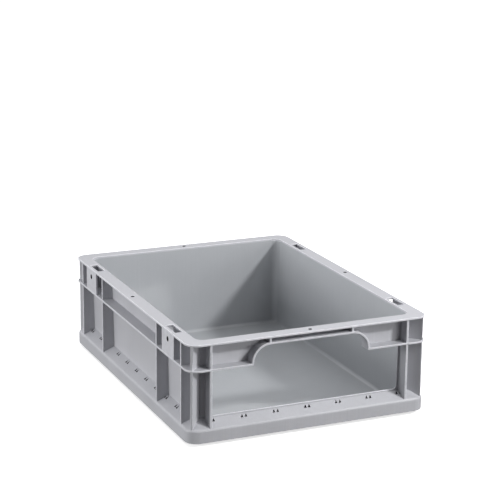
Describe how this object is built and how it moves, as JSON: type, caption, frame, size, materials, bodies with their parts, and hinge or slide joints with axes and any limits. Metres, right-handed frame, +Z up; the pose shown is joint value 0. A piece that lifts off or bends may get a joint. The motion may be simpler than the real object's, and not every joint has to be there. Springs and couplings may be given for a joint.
{
  "type": "stacking crate",
  "caption": "Low grey plastic stacking crate, rigid, with one short side cut open for picking, a flat rim, a stiffening flange and a sloping base skirt.",
  "frame": {"origin": "on the ground under the middle of the crate", "axes": "+X along the short sides to the right of someone facing the pick opening, +Y from the pick opening to the closed back, +Z up"},
  "size_m": [0.3, 0.4, 0.12],
  "materials": {
    "grey_pp": "light grey injection-moulded polypropylene, satin outside, smoother inside"
  },
  "bodies": {
    "root": {"floor_panel": "grey_pp", "base_skirt_front": "grey_pp", "base_skirt_back": "grey_pp", "base_skirt_left": "grey_pp", "base_skirt_right": "grey_pp", "corner_column_front_left": "grey_pp", "corner_column_front_right": "grey_pp", "corner_column_back_left": "grey_pp", "corner_column_back_right": "grey_pp", "side_wall_left": "grey_pp", "side_wall_right": "grey_pp", "back_wall": "grey_pp", "front_sill": "grey_pp", "front_jamb_left": "grey_pp", "front_jamb_right": "grey_pp", "front_header": "grey_pp", "grip_ledge_front": "grey_pp", "grip_ledge_back": "grey_pp", "mid_flange_left": "grey_pp", "mid_flange_right": "grey_pp", "lid_catch_left_front": "grey_pp", "lid_catch_left_back": "grey_pp", "lid_catch_right_front": "grey_pp", "lid_catch_right_back": "grey_pp", "rim_front": "grey_pp", "rim_back": "grey_pp", "rim_left": "grey_pp", "rim_right": "grey_pp"}
  },
  "joints": []
}
